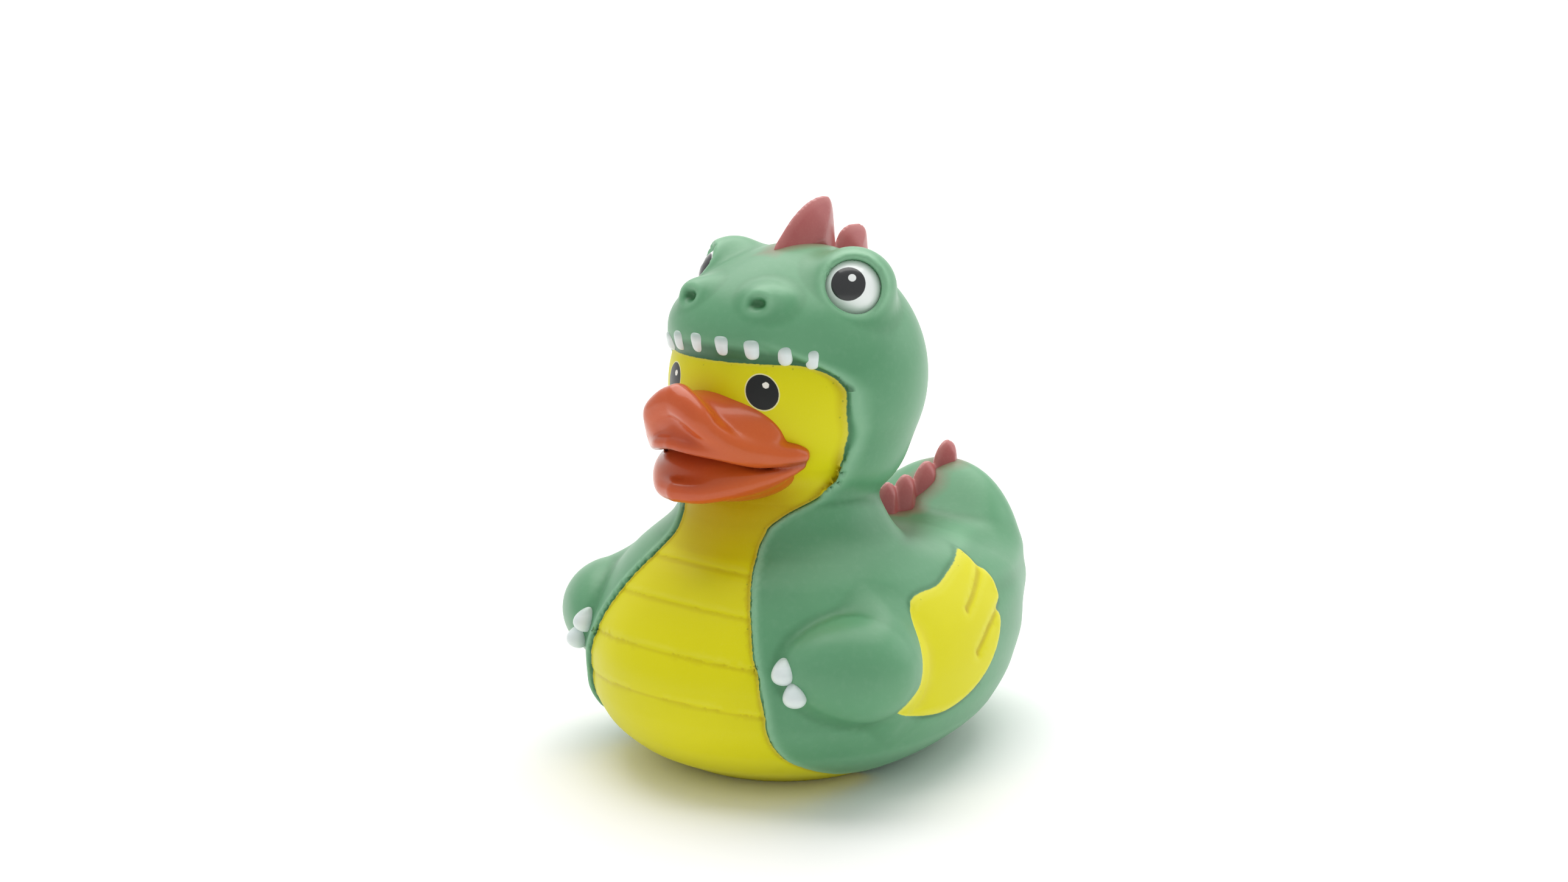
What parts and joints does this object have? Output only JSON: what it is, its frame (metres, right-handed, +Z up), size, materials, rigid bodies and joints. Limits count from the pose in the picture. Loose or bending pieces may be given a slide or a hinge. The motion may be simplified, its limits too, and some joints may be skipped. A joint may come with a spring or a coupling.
{
  "type": "rubber duck",
  "caption": "Free-standing vinyl bath duck in a hooded dinosaur costume, with a flat base, spikes, arms, wings and an open bill.",
  "frame": {"origin": "centre of the overall length and width, at the flat base", "axes": "+Z up, the duck faces -Y and its left side is +X"},
  "size_m": [0.0704, 0.084, 0.0902],
  "materials": {
    "costume_green": "satin sprayed vinyl"
  },
  "bodies": {
    "root": {"duck": "costume_green"}
  },
  "joints": []
}
